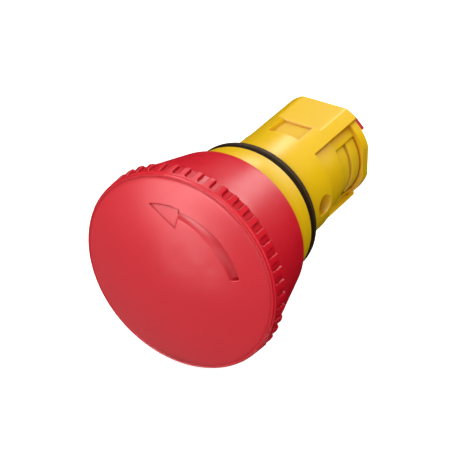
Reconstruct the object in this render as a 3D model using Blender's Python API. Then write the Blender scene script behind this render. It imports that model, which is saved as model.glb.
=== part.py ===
"""Emergency stop button: a twist-release mushroom head on a 22 mm panel-mounted actuator.

Lengths below are in millimetres and become metres when an object is made. The button's axis is
the world Y axis, the front faces -Y, and y = 0 is the plane where the gasket meets the panel.
"""

import math

import bmesh
import bpy
from mathutils import Matrix, Vector

MM = 0.001
GAP = 0.3

# Mushroom cap
HEAD_RADIUS = 20.0
DOME_SPHERE = 56.0
DOME_FRONT = -29.9
EDGE_RADIUS = 19.55
EDGE_Y = -26.38
KNURL_FRONT = -25.7
KNURL_REAR = -22.9
KNURL_COUNT = 48
KNURL_DEPTH = 0.5
KNURL_GROOVE = 1.3
SKIRT_FRONT_RADIUS = 19.45
SKIRT_REAR_RADIUS = 15.9
SKIRT_REAR = -9.6
CAP_WALL = 2.0
BOSS_INNER = 8.8
BOSS_OUTER = 10.6
BOSS_REAR = -23.0
ARROW_DEPTH = 0.35
ARROW_INNER = 12.2
ARROW_OUTER = 13.9
ARROW_ANGLES = (17.0, 85.5)
ARROW_HEAD = ((14.31, 85.5), (14.57, 110.9), (10.72, 86.0))

# Stem, and the clip that holds the cap on it
STEM_FRONT = -26.6
STEM_FRONT_RADIUS = 8.5
STEM_SHOULDER = -13.0
STEM_RADIUS = 6.9
STEM_REAR = 16.0
STEM_BORE = 4.5
STEM_BORE_END = 8.0
STEM_TIP = 21.0
NECK_RADIUS = 3.4
NECK_GROOVE = (19.3, 20.5)
CLIP_GROOVE = (-25.1, -23.9)
LUG_RADIUS = 7.9
LUG_Y = (10.0, 11.4)
LUG_ANGLES = (90.0, 210.0, 330.0)

# Housing
COLLAR_RADIUS = 14.1
COLLAR_FRONT = -18.5
COLLAR_REAR = -2.5
CHAMBER_RADIUS = 12.3
CHAMBER_REAR = -4.2
BARREL_RADIUS = 11.0
BARREL_REAR = 26.5
SPRING_BORE = 8.9
LEDGE_BORE = 8.2
LEDGE_Y = (8.6, 12.0)
REAR_BORE = 9.2
RECESS_RADIUS = 10.0
RECESS_FRONT = 10.2
RECESS_HALF_ANGLE = 50.0
WINDOW_Y = (17.0, 24.0)
WINDOW_HALF_ANGLE = 37.0
TOP_FLAT = 9.9
FLAT_FRONT = 15.6
FLANGE_FLAT = 9.75
KEY_FLOOR = 9.5
KEY_HALF_WIDTH = 3.2
HOLE_Y = 7.2
HOLE_RADIUS = 2.0
KEY_WIDTH = 2.6
KEY_RADIUS = 12.8
KEYWAY_RADIUS = 13.1
OUTSIDE = 13.0

# Plunger, springs and trip pins
CUP_Y = (-12.0, -9.0)
CUP_INNER = 7.2
CUP_OUTER = 12.0
TRIP_Y = -10.5
TRIP_BORE = 0.95
PLUNGER_FLANGE = 7.4
SHAFT_RADIUS = 5.7
SHAFT_FLAT = 4.5
PLUNGER_REAR = 26.6
LATCH_Y = 12.7
LATCH_FLAT = 7.7
LATCH_CORNER = 8.5
PLATE_Y = (26.9, 28.3)
PLATE_RADIUS = 6.6
PAD_REACH = 9.3
PAD_HALF_WIDTH = 1.6
SCREW_RADIUS = 1.2
SCREW_BORE = 1.5


def clear_scene():
    for obj in list(bpy.data.objects):
        bpy.data.objects.remove(obj, do_unlink=True)


def surface(name, rgb, roughness, metallic=0.0):
    made = bpy.data.materials.new(name)
    made.use_nodes = True
    shader = made.node_tree.nodes["Principled BSDF"]
    shader.inputs["Base Color"].default_value = (*rgb, 1.0)
    shader.inputs["Roughness"].default_value = roughness
    shader.inputs["Metallic"].default_value = metallic
    made.diffuse_color = (*rgb, 1.0)
    return made


def at(radius, degrees, y):
    """A point at this radius and clock angle; 0 is +X and 90 is +Z."""
    turn = math.radians(degrees)
    return Vector((radius * math.cos(turn), y, radius * math.sin(turn)))


def arc(radius, first, last, y, steps):
    return [at(radius, first + (last - first) * i / steps, y) for i in range(steps + 1)]


def finish(name, bm, material, origin=(0.0, 0.0, 0.0)):
    """Turns a bmesh in millimetres into an object whose origin is at the given point."""
    bmesh.ops.recalc_face_normals(bm, faces=bm.faces)
    bm.transform(Matrix.Scale(MM, 4) @ Matrix.Translation(-Vector(origin)))
    mesh = bpy.data.meshes.new(name)
    bm.to_mesh(mesh)
    bm.free()
    mesh.shade_smooth()
    mesh.set_sharp_from_angle(angle=math.radians(32))
    obj = bpy.data.objects.new(name, mesh)
    obj.location = Vector(origin) * MM
    bpy.context.scene.collection.objects.link(obj)
    if material:
        mesh.materials.append(material)
    return obj


def turned(name, outline, material, segments=40):
    """A solid of revolution about Y. The outline is a list of (radius, y) points."""
    bm = bmesh.new()
    points = [bm.verts.new((radius, y, 0.0)) for radius, y in outline]
    edges = [bm.edges.new(pair) for pair in zip(points, points[1:])]
    if outline[0][0] > 0.0:
        edges.append(bm.edges.new((points[-1], points[0])))
    bmesh.ops.spin(
        bm, geom=points + edges, axis=(0, 1, 0), cent=(0, 0, 0),
        angle=math.tau, steps=segments, use_merge=True,
    )
    bmesh.ops.remove_doubles(bm, verts=bm.verts, dist=1e-4)
    middle = sum(y for _, y in outline) / len(outline)
    return finish(name, bm, material, (0.0, middle, 0.0))


def prism(bm, loop, sweep):
    """A closed solid from a loop of points moved along the sweep vector."""
    face = bm.faces.new([bm.verts.new(point) for point in loop])
    grown = bmesh.ops.extrude_face_region(bm, geom=[face], use_keep_orig=True)
    moved = [item for item in grown["geom"] if isinstance(item, bmesh.types.BMVert)]
    bmesh.ops.translate(bm, verts=moved, vec=sweep)


def sector_loop(inner, outer, first, last, y, steps):
    return arc(inner, first, last, y, steps) + arc(outer, last, first, y, steps)


def box_loop(x_range, z_range, y):
    (x0, x1), (z0, z1) = x_range, z_range
    return [Vector((x0, y, z0)), Vector((x1, y, z0)), Vector((x1, y, z1)), Vector((x0, y, z1))]


def cut(target, name, bm, operation="DIFFERENCE"):
    """A Boolean between the target and a hidden wire helper."""
    helper = finish(name, bm, None)
    helper.hide_render = True
    helper.display_type = "WIRE"
    boolean = target.modifiers.new(name, "BOOLEAN")
    boolean.operation = operation
    boolean.solver = "EXACT"
    boolean.object = helper


def ring_clip(name, inner, outer, y_range, opening, material):
    """A flat snap ring with an opening of this many degrees at the bottom."""
    bm = bmesh.new()
    start = -90.0 + opening / 2
    loop = sector_loop(inner, outer, start, start + 360.0 - opening, y_range[0], 28)
    prism(bm, loop, (0, y_range[1] - y_range[0], 0))
    return finish(name, bm, material, (0.0, sum(y_range) / 2, 0.0))


def wire(name, points, radius, material, origin, closed=False):
    """A round wire through the points."""
    curve = bpy.data.curves.new(name, "CURVE")
    curve.dimensions = "3D"
    curve.bevel_depth = radius * MM
    curve.bevel_resolution = 1
    curve.use_fill_caps = True
    spline = curve.splines.new("POLY")
    spline.points.add(len(points) - 1)
    for node, point in zip(spline.points, points):
        node.co = (*((Vector(point) - Vector(origin)) * MM), 1.0)
    spline.use_cyclic_u = closed
    spline.use_smooth = True
    obj = bpy.data.objects.new(name, curve)
    obj.location = Vector(origin) * MM
    curve.materials.append(material)
    bpy.context.scene.collection.objects.link(obj)
    return obj


def coil(radius, y_range, turns, per_turn, start=0.0):
    """Points of a compression coil along Y, with its end turns closed up."""
    count = round(turns * per_turn)
    points = []
    for i in range(count + 1):
        share = i / count
        eased = share - math.sin(math.tau * share) / math.tau * 0.55
        y = y_range[0] + (y_range[1] - y_range[0]) * eased
        points.append(at(radius, start + 360.0 * turns * share, y))
    return points


def dome_y(radius, sink=0.0):
    """Height of the domed front face at this radius."""
    return DOME_FRONT + DOME_SPHERE - math.sqrt(DOME_SPHERE**2 - radius**2) + sink


def cap_outline():
    dome = [(radius, dome_y(radius)) for radius in (0.0, 6.0, 11.0, 15.5, 18.9)]
    outside = [
        (EDGE_RADIUS, EDGE_Y),
        (HEAD_RADIUS, KNURL_FRONT),
        (HEAD_RADIUS, KNURL_REAR),
        (SKIRT_FRONT_RADIUS, KNURL_REAR),
        (SKIRT_REAR_RADIUS, SKIRT_REAR + 0.4),
        (SKIRT_REAR_RADIUS - 0.4, SKIRT_REAR),
    ]
    inside = [
        (14.5, SKIRT_REAR),
        (17.7, KNURL_REAR),
        (17.6, -25.0),
        (BOSS_OUTER, dome_y(BOSS_OUTER, CAP_WALL)),
        (BOSS_OUTER, BOSS_REAR),
        (BOSS_INNER, BOSS_REAR),
        (BOSS_INNER, CLIP_GROOVE[1]),
        (BOSS_INNER + 0.7, CLIP_GROOVE[1]),
        (BOSS_INNER + 0.7, CLIP_GROOVE[0]),
        (BOSS_INNER, CLIP_GROOVE[0]),
        (BOSS_INNER, dome_y(BOSS_INNER, CAP_WALL)),
        (0.0, dome_y(0.0, CAP_WALL)),
    ]
    return dome + outside + inside


def knurl_cutter():
    """U-shaped grooves round the rim, closed towards the dome and open towards the skirt."""
    bm = bmesh.new()
    half = KNURL_GROOVE / 2
    bend_y = KNURL_FRONT + half
    shape = [(half, KNURL_REAR + 0.5), (half, bend_y)]
    shape += [(half * math.cos(a), bend_y - half * math.sin(a)) for a in (math.pi / 3, math.pi * 2 / 3)]
    shape += [(-half, bend_y), (-half, KNURL_REAR + 0.5)]
    floor = HEAD_RADIUS - KNURL_DEPTH
    for i in range(KNURL_COUNT):
        degrees = 360.0 * (i + 0.5) / KNURL_COUNT
        out = at(1.0, degrees, 0.0)
        side = at(1.0, degrees + 90.0, 0.0)
        loop = [out * floor + side * across + Vector((0, y, 0)) for across, y in shape]
        prism(bm, loop, out * 1.5)
    return bm


def arrow_stations():
    """Inner and outer edge of the curved arrow, from its tail to the back of its head."""
    first, last = ARROW_ANGLES
    angles = [first + (last - first) * i / 8 for i in range(9)]
    return [((ARROW_INNER, angle), (ARROW_OUTER, angle)) for angle in angles]


def arrow_cutter():
    """The counter-clockwise release arrow, with a floor that follows the dome."""
    head = ARROW_HEAD
    bm = bmesh.new()
    stations = arrow_stations()
    corners = [outer for _, outer in stations] + list(head) + [inner for inner, _ in reversed(stations)]
    floor = {c: bm.verts.new(at(c[0], c[1], dome_y(c[0], ARROW_DEPTH))) for c in corners}
    front = {c: bm.verts.new(at(c[0], c[1], DOME_FRONT - 1.0)) for c in corners}
    for (i0, o0), (i1, o1) in zip(stations, stations[1:]):
        bm.faces.new([floor[c] for c in (i0, i1, o1, o0)])
        bm.faces.new([front[c] for c in (i0, o0, o1, i1)])
    inner, outer = stations[-1]
    base_outer, tip, base_inner = head
    for fan in ((inner, base_inner, tip), (inner, tip, base_outer), (inner, base_outer, outer)):
        bm.faces.new([floor[c] for c in fan])
        bm.faces.new([front[c] for c in reversed(fan)])
    for near, far in zip(corners, corners[1:] + corners[:1]):
        bm.faces.new([floor[near], floor[far], front[far], front[near]])
    return bm


def mushroom_cap(material):
    cap = turned("mushroom_cap", cap_outline(), material, 96)
    cut(cap, "knurl_grooves", knurl_cutter())
    cut(cap, "release_arrow", arrow_cutter())
    return cap


def stem(material):
    shaft = turned("stem", [
        (0.0, STEM_BORE_END),
        (STEM_BORE, STEM_BORE_END),
        (STEM_BORE, STEM_FRONT),
        (STEM_FRONT_RADIUS, STEM_FRONT),
        (STEM_FRONT_RADIUS, CLIP_GROOVE[0]),
        (7.8, CLIP_GROOVE[0]),
        (7.8, CLIP_GROOVE[1]),
        (STEM_FRONT_RADIUS, CLIP_GROOVE[1]),
        (STEM_FRONT_RADIUS, STEM_SHOULDER),
        (STEM_RADIUS, STEM_SHOULDER),
        (STEM_RADIUS, STEM_REAR),
        (NECK_RADIUS, STEM_REAR),
        (NECK_RADIUS, NECK_GROOVE[0]),
        (NECK_RADIUS - 0.5, NECK_GROOVE[0]),
        (NECK_RADIUS - 0.5, NECK_GROOVE[1]),
        (NECK_RADIUS, NECK_GROOVE[1]),
        (NECK_RADIUS, STEM_TIP),
        (0.0, STEM_TIP),
    ], material, 36)
    lugs = bmesh.new()
    for middle in LUG_ANGLES:
        loop = sector_loop(STEM_RADIUS - 0.6, LUG_RADIUS, middle - 8.0, middle + 8.0, LUG_Y[0], 3)
        prism(lugs, loop, (0, LUG_Y[1] - LUG_Y[0], 0))
    cut(shaft, "latch_lugs", lugs, "UNION")
    return shaft


def housing_outline():
    return [
        (CHAMBER_RADIUS, COLLAR_FRONT),
        (13.7, COLLAR_FRONT),
        (COLLAR_RADIUS, COLLAR_FRONT + 0.4),
        (COLLAR_RADIUS, -6.0),
        (13.6, COLLAR_REAR),
        (BARREL_RADIUS, COLLAR_REAR),
        (BARREL_RADIUS, BARREL_REAR - 0.4),
        (BARREL_RADIUS - 0.3, BARREL_REAR),
        (REAR_BORE, BARREL_REAR),
        (REAR_BORE, LEDGE_Y[1]),
        (LEDGE_BORE, LEDGE_Y[1]),
        (LEDGE_BORE, LEDGE_Y[0]),
        (SPRING_BORE, LEDGE_Y[0]),
        (SPRING_BORE, CHAMBER_REAR),
        (CHAMBER_RADIUS, CHAMBER_REAR),
    ]


def keyway_cutter():
    """Two keyways for the spring cup, and two sloping grooves that push the trip pins in."""
    bm = bmesh.new()
    half = KEY_WIDTH / 2 + GAP
    length = CHAMBER_REAR - COLLAR_FRONT + 1.0
    for z_range in ((11.5, KEYWAY_RADIUS), (-KEYWAY_RADIUS, -11.5)):
        prism(bm, box_loop((-half, half), z_range, COLLAR_FRONT - 1.0), (0, length, 0))
    front, rear = -13.5, CHAMBER_REAR
    for side in (1.0, -1.0):
        loop = [
            (11.5 * side, front, -TRIP_BORE),
            ((12.8 - 0.1 * (front - TRIP_Y)) * side, front, -TRIP_BORE),
            ((12.8 - 0.1 * (rear - TRIP_Y)) * side, rear, -TRIP_BORE),
            (11.5 * side, rear, -TRIP_BORE),
        ]
        prism(bm, loop, (0, 0, 2 * TRIP_BORE))
    return bm


def side_recess_cutter():
    bm = bmesh.new()
    half = RECESS_HALF_ANGLE
    for middle in (0.0, 180.0):
        loop = sector_loop(RECESS_RADIUS, OUTSIDE, middle - half, middle + half, RECESS_FRONT, 12)
        prism(bm, loop, (0, BARREL_REAR + 1.0 - RECESS_FRONT, 0))
    return bm


def side_window_cutter():
    """A window in each side recess, and the round hole in front of it."""
    bm = bmesh.new()
    half = WINDOW_HALF_ANGLE
    for middle in (0.0, 180.0):
        loop = sector_loop(8.0, OUTSIDE, middle - half, middle + half, WINDOW_Y[0], 10)
        prism(bm, loop, (0, WINDOW_Y[1] - WINDOW_Y[0], 0))
        out = at(1.0, middle, 0.0)
        ring = [out * 7.8 + Vector((0, HOLE_Y, 0)) + Vector((0, math.cos(a), math.sin(a))) * HOLE_RADIUS
                for a in (math.tau * i / 20 for i in range(20))]
        prism(bm, ring, out * 5.0)
    return bm


def flats_cutter():
    """Flats above and below the rear of the barrel, and on the sides of its rear flange."""
    bm = bmesh.new()
    for z_range in ((TOP_FLAT, OUTSIDE), (-OUTSIDE, -TOP_FLAT)):
        prism(bm, box_loop((-6.0, 6.0), z_range, FLAT_FRONT), (0, 12.0, 0))
    for x_range in ((FLANGE_FLAT, OUTSIDE), (-OUTSIDE, -FLANGE_FLAT)):
        prism(bm, box_loop(x_range, (-5.0, 5.0), WINDOW_Y[1] + 0.4), (0, 4.0, 0))
    return bm


def key_recess_cutter():
    """Shallow key recesses that lead into the upper and lower flats."""
    bm = bmesh.new()
    half = KEY_HALF_WIDTH
    for z_range in ((KEY_FLOOR, OUTSIDE), (-OUTSIDE, -KEY_FLOOR)):
        prism(bm, box_loop((-half, half), z_range, RECESS_FRONT), (0, FLAT_FRONT - RECESS_FRONT + 0.4, 0))
    return bm


def housing(material):
    body = turned("housing", housing_outline(), material, 72)
    cut(body, "keyways", keyway_cutter())
    cut(body, "side_recesses", side_recess_cutter())
    cut(body, "side_windows", side_window_cutter())
    cut(body, "rear_flats", flats_cutter())
    cut(body, "key_recesses", key_recess_cutter())
    return body


def panel_gasket(material):
    return turned("panel_gasket", [
        (BARREL_RADIUS + GAP, -2.2),
        (13.7, -2.2),
        (13.7, -0.8),
        (13.1, 0.0),
        (BARREL_RADIUS + GAP, 0.0),
    ], material, 60)


def seal_retainer(material):
    return turned("seal_retainer", [(9.6, -18.3), (12.0, -18.3), (12.0, -17.5), (9.6, -17.5)], material)


def lip_seal(material):
    return turned("lip_seal", [
        (8.8, -17.2), (9.4, -17.2), (9.7, -16.7), (12.0, -16.7),
        (12.0, -15.9), (9.3, -15.9), (8.8, -16.4),
    ], material)


def spring_seat(material):
    return turned("spring_seat", [(7.2, 7.5), (8.6, 7.5), (8.6, 8.3), (7.2, 8.3)], material)


def rear_guide(material):
    """The inner sleeve: two outer diameters, a stepped bore and a rear wall with a double-D hole."""
    guide = turned("rear_guide", [
        (8.2, 13.6), (8.9, 13.6), (8.9, 17.0), (8.55, 17.3), (8.55, 20.2), (8.9, 20.5),
        (8.9, 26.2), (3.0, 26.2), (3.0, 24.8), (7.75, 24.8), (7.75, 16.4), (8.2, 16.4),
    ], material)
    bm = bmesh.new()
    prism(bm, double_d(SHAFT_RADIUS + GAP, SHAFT_FLAT + GAP, 24.0), (0, 3.0, 0))
    cut(guide, "guide_hole", bm)
    return guide


def double_d(radius, flat, y):
    """A circle with two flats, one on each side in X."""
    edge = math.degrees(math.acos(flat / radius))
    return arc(radius, edge, 180.0 - edge, y, 10) + arc(radius, 180.0 + edge, 360.0 - edge, y, 10)


def latch_wire(material):
    """A triangular wire spring: the stem's lugs snap past its flats and turn out to its corners."""
    gap = 7.0
    count = 45
    points = []
    for i in range(count + 1):
        degrees = 30.0 + gap + (360.0 - 2 * gap) * i / count
        off_flat = (degrees - 30.0) % 120.0 - 60.0
        radius = min(LATCH_FLAT / math.cos(math.radians(off_flat)), LATCH_CORNER)
        points.append(at(radius, degrees, LATCH_Y))
    return wire("latch_wire", points, 0.4, material, (0, LATCH_Y, 0))


def return_spring(material):
    return wire("return_spring", coil(7.9, (-8.25, 6.75), 6.0, 12), 0.45, material, (0, 6.75, 0))


def torsion_spring(material):
    """Wound round the stem: one end points back into the cup, the other grips the stem."""
    body = coil(10.2, (-15.1, -13.6), 2.25, 20, 60.0)
    leg = [at(9.25, 58.0, -15.1)]
    tail = [at(10.2, 60.0 + 810.0 + 4.0, -12.75)]
    return wire("torsion_spring", leg + body + tail, 0.3, material, (0, -14.35, 0))


def trip_spring(name, side, material):
    points = []
    for i in range(25):
        turn = math.tau * i / 7
        points.append((side * (9.0 + i / 24), TRIP_Y + 0.4 * math.cos(turn), 0.4 * math.sin(turn)))
    return wire(name, points, 0.1, material, (side * 9.0, TRIP_Y, 0))


def trip_pin(name, side, material):
    """A round-ended pin that the housing's sloping groove pushes inwards."""
    shape = [(0.0, 10.6), (0.65, 10.6), (0.65, 12.1), (0.45, 12.38), (0.0, 12.5)]
    pin = turned(name, shape, material, 16)
    middle = sum(y for _, y in shape) / len(shape)
    pin.rotation_euler = (0.0, 0.0, -math.pi / 2 * side)
    pin.location = Vector((side * middle, TRIP_Y, 0.0)) * MM
    return pin


def spring_cup(material):
    """The carrier that the stem's shoulder pushes: two keys stop it turning in the housing."""
    cup = turned("spring_cup", [
        (CUP_INNER, CUP_Y[0]), (CUP_OUTER, CUP_Y[0]), (CUP_OUTER, CUP_Y[1]), (CUP_INNER, CUP_Y[1]),
    ], material)
    keys = bmesh.new()
    for z_range in ((11.0, KEY_RADIUS), (-KEY_RADIUS, -11.0)):
        loop = box_loop((-KEY_WIDTH / 2, KEY_WIDTH / 2), z_range, CUP_Y[0])
        prism(keys, loop, (0, CUP_Y[1] - CUP_Y[0], 0))
    cut(cup, "cup_keys", keys, "UNION")
    bores = bmesh.new()
    for side in (1.0, -1.0):
        ring = [Vector((side * 8.6, TRIP_Y + TRIP_BORE * math.cos(a), TRIP_BORE * math.sin(a)))
                for a in (math.tau * i / 16 for i in range(16))]
        prism(bores, ring, (side * 5.0, 0, 0))
    cut(cup, "trip_bores", bores)
    return cup


def thrust_washer(material):
    return turned("thrust_washer", [(7.2, -12.7), (9.4, -12.7), (9.4, -12.3), (7.2, -12.3)], material)


def plunger(material):
    """A flange that slides in the rear guide, and a double-D shaft that passes through its wall."""
    body = turned("plunger", [
        (3.7, 16.3), (PLUNGER_FLANGE, 16.3), (PLUNGER_FLANGE, 20.4), (SHAFT_RADIUS, 20.4),
        (SHAFT_RADIUS, PLUNGER_REAR), (SCREW_BORE, PLUNGER_REAR), (SCREW_BORE, 21.5), (3.7, 21.5),
        (3.7, 20.5), (4.7, 20.5), (4.7, 19.3), (3.7, 19.3),
    ], material)
    bm = bmesh.new()
    for x_range in ((SHAFT_FLAT, 7.0), (-7.0, -SHAFT_FLAT)):
        prism(bm, box_loop(x_range, (-6.5, 6.5), 20.7), (0, 7.0, 0))
    cut(body, "shaft_flats", bm)
    return body


def actuator_plate(material):
    """The disc that works the contact blocks, with four diagonal pads."""
    front, rear = PLATE_Y
    plate = turned("actuator_plate", [
        (SCREW_BORE, front), (PLATE_RADIUS, front), (PLATE_RADIUS, rear), (SCREW_BORE, rear),
    ], material)
    pads = bmesh.new()
    for middle in (45.0, 135.0, 225.0, 315.0):
        out, side = at(1.0, middle, 0.0), at(1.0, middle + 90.0, 0.0)
        outline = [(5.0, -PAD_HALF_WIDTH), (PAD_REACH, -PAD_HALF_WIDTH), (PAD_REACH, PAD_HALF_WIDTH),
                   (5.0, PAD_HALF_WIDTH)]
        loop = [out * r + side * w + Vector((0, front, 0)) for r, w in outline]
        prism(pads, loop, (0, rear - front, 0))
    cut(plate, "contact_pads", pads, "UNION")
    return plate


def plate_screw(material):
    """A pan-head screw with a cross recess."""
    screw = turned("plate_screw", [
        (0.0, 22.6), (0.9, 22.6), (SCREW_RADIUS, 22.9), (SCREW_RADIUS, 28.6),
        (2.2, 28.6), (2.2, 29.2), (1.8, 29.6), (0.0, 29.6),
    ], material, 24)
    bm = bmesh.new()
    arms = [(0.25, 0.25), (0.25, 1.2), (-0.25, 1.2), (-0.25, 0.25), (-1.2, 0.25), (-1.2, -0.25),
            (-0.25, -0.25), (-0.25, -1.2), (0.25, -1.2), (0.25, -0.25), (1.2, -0.25), (1.2, 0.25)]
    prism(bm, [Vector((x, 29.1, z)) for x, z in arms], (0, 1.0, 0))
    cut(screw, "cross_recess", bm)
    return screw


def axis_empty(name, parent=None, location=(0.0, 0.0, 0.0)):
    empty = bpy.data.objects.new(name, None)
    empty.empty_display_size = 0.005
    empty.location = Vector(location) * MM
    empty.parent = parent
    bpy.context.scene.collection.objects.link(empty)
    return empty


def attach(parent, pieces):
    """Parents the pieces and leaves them where they are."""
    bpy.context.view_layer.update()
    for piece in pieces:
        piece.parent = parent
        piece.matrix_parent_inverse = parent.matrix_world.inverted()


def build():
    clear_scene()
    red = surface("red_plastic", (0.62, 0.035, 0.05), 0.42)
    inner_red = surface("actuator_plastic", (0.5, 0.03, 0.04), 0.5)
    yellow = surface("yellow_plastic", (0.85, 0.55, 0.025), 0.45)
    guide_yellow = surface("guide_plastic", (0.85, 0.52, 0.02), 0.5)
    stem_plastic = surface("stem_plastic", (0.6, 0.6, 0.57), 0.5)
    cup_plastic = surface("cup_plastic", (0.04, 0.04, 0.045), 0.5)
    rubber = surface("gasket_rubber", (0.03, 0.022, 0.018), 0.65)
    seal_rubber = surface("seal_rubber", (0.02, 0.02, 0.02), 0.6)
    spring_steel = surface("spring_steel", (0.62, 0.62, 0.64), 0.3, 1.0)
    bright_steel = surface("bright_steel", (0.72, 0.72, 0.74), 0.25, 1.0)

    housing(yellow)
    panel_gasket(rubber)
    seal_retainer(bright_steel)
    lip_seal(seal_rubber)
    spring_seat(bright_steel)
    rear_guide(guide_yellow)
    latch_wire(spring_steel)
    return_spring(spring_steel)

    press = axis_empty("press_axis")
    attach(press, [
        spring_cup(cup_plastic),
        thrust_washer(bright_steel),
        torsion_spring(spring_steel),
        trip_spring("trip_spring_left", -1.0, spring_steel),
        trip_spring("trip_spring_right", 1.0, spring_steel),
        plunger(inner_red),
        ring_clip("stem_clip", 3.2, 4.4, (19.6, 20.2), 50.0, bright_steel),
        actuator_plate(inner_red),
        plate_screw(bright_steel),
    ])
    turn = axis_empty("turn_axis", press)
    attach(turn, [
        mushroom_cap(red),
        ring_clip("cap_clip", 8.1, 9.2, (-24.8, -24.2), 36.0, bright_steel),
        stem(stem_plastic),
    ])
    attach(press, [
        trip_pin("trip_pin_left", -1.0, bright_steel),
        trip_pin("trip_pin_right", 1.0, bright_steel),
    ])


build()
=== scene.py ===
"""Looks of the emergency stop button: fine meshes and moulded, rubber and steel materials.

Shapes are worked out in millimetres, in the frame of the CAD parts: the axis is Y, the front faces
-Y and y = 0 is the panel plane. Clock angles start at +X and go through +Z.
"""

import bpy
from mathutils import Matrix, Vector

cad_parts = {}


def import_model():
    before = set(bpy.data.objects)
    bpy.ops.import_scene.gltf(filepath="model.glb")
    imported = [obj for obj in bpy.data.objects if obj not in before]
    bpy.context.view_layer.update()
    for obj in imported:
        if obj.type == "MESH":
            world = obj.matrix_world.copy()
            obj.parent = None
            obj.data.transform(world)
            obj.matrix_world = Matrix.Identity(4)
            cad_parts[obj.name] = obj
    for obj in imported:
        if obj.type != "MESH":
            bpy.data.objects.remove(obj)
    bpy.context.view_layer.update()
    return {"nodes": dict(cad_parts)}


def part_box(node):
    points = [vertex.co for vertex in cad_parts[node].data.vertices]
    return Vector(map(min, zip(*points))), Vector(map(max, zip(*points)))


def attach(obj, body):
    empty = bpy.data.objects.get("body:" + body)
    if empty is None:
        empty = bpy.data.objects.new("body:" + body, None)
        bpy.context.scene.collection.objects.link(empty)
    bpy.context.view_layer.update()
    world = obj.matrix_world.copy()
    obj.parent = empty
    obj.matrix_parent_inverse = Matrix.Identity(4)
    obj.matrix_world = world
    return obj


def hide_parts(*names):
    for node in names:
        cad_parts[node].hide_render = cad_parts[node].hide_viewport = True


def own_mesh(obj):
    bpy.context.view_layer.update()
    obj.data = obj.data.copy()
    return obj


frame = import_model()

import math

import bmesh
import bpy
import numpy as np
from mathutils import Matrix, Vector

MM = 0.001
# How far the outermost surfaces stay inside the CAD parts' box
SKIN = 0.002

CAP_LOW, CAP_HIGH = ([v / MM for v in corner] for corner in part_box("mushroom_cap"))
BODY_LOW, BODY_HIGH = ([v / MM for v in corner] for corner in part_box("housing"))
GASKET_LOW, GASKET_HIGH = ([v / MM for v in corner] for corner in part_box("panel_gasket"))
PLATE_LOW, PLATE_HIGH = ([v / MM for v in corner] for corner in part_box("actuator_plate"))
SCREW_LOW, SCREW_HIGH = ([v / MM for v in corner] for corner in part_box("plate_screw"))
SPRING_LOW, SPRING_HIGH = ([v / MM for v in corner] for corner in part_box("return_spring"))
LATCH_LOW, LATCH_HIGH = ([v / MM for v in corner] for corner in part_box("latch_wire"))

# Mushroom cap
HEAD_RADIUS = CAP_HIGH[0] - SKIN
DOME_FRONT = CAP_LOW[1] + SKIN
DOME_SPHERE = 56.0
CAP_WALL = 2.0
# Fine line round the dome, the bead outside it and the fall to the knurl, as (radius, depth)
EDGE_PROFILE = (
    (18.85, 0.0), (18.95, 0.03), (19.02, 0.07), (19.08, 0.09), (19.14, 0.07), (19.21, 0.0),
    (19.28, -0.07), (19.35, -0.11), (19.42, -0.11), (19.49, -0.05), (19.54, 0.05), (19.58, 0.17),
)
PAD_FRONT = -25.98
KNURL_COUNT = 48
KNURL_GROOVE = 1.4
KNURL_FRONT = -25.65
KNURL_REAR = -22.9
GROOVE_FLOOR = HEAD_RADIUS - 0.55
SKIRT_FRONT_RADIUS = 19.45
SKIRT_REAR_RADIUS = 15.9
SKIRT_REAR = CAP_HIGH[1]
SKIRT_MOUTH = 14.6
BOSS_OUTER = 10.6
BOSS_INNER = 8.8
BOSS_REAR = -23.0
CLIP_GROOVE_RADIUS = 9.5
CLIP_GROOVE_FRONT = -25.1
CLIP_GROOVE_REAR = -23.9

# Engraved arrow: radii in millimetres, and clock angles in degrees
ARROW_HEAD = ((14.31, 85.3), (14.4, 92.0), (14.48, 101.0), (14.57, 110.9), (12.3, 100.6), (10.72, 86.0))
ARROW_HEAD_DEPTH = 0.32
SHAFT_DEPTH = 0.8
SHAFT_OUTER = 13.95
SHAFT_INNER = 12.0
SHAFT_TAIL = 15.5
SHAFT_END = 87.0

# Housing
COLLAR_RADIUS = BODY_HIGH[0]
COLLAR_FRONT = BODY_LOW[1]
COLLAR_REAR = -2.5
CHAMBER_RADIUS = 12.3
CHAMBER_REAR = -4.2
KEYWAY_RADIUS = 13.1
KEYWAY_ANGLE = 7.25
TRIP_Y = -10.5
TRIP_FLOOR = 12.8
TRIP_SLOPE = 0.1
TRIP_FRONT = -13.5
TRIP_ANGLE = 4.5
BARREL_RADIUS = 11.0
BARREL_REAR = BODY_HIGH[1]
SPRING_BORE = 8.9
LEDGE_BORE = 8.2
LEDGE_FRONT = 8.6
LEDGE_REAR = 12.0
REAR_BORE = 9.2
FLAT_FRONT = 16.2
FLAT_Z = 9.9
FLAT_ANGLE = 25.8
KEY_FLOOR_Z = 9.5
KEY_ANGLE = 17.7
RECESS_RADIUS = 10.35
RECESS_FALL = 0.11
RECESS_FRONT = 10.2
RECESS_ANGLE = 50.0
WINDOW_FRONT = 17.0
WINDOW_REAR = 24.0
WINDOW_ANGLE = 37.0
WINDOW_DIP = 0.13
WINDOW_DIP_REACH = 0.11
FLANGE_RADIUS = 10.25
FLANGE_FLAT = 9.75
HOLE_Y = 7.2
HOLE_RADIUS = 2.1
EDGE = 0.14
STEP_EDGE = 0.22
SIDE_EDGE = 0.7

# Inner sleeve
SLEEVE_FRONT_RADIUS = 8.9
SLEEVE_REAR_RADIUS = 9.12
SLEEVE_BORE = 7.75
SHAFT_HOLE_RADIUS = 6.0
SHAFT_HOLE_FLAT = 4.8

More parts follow.
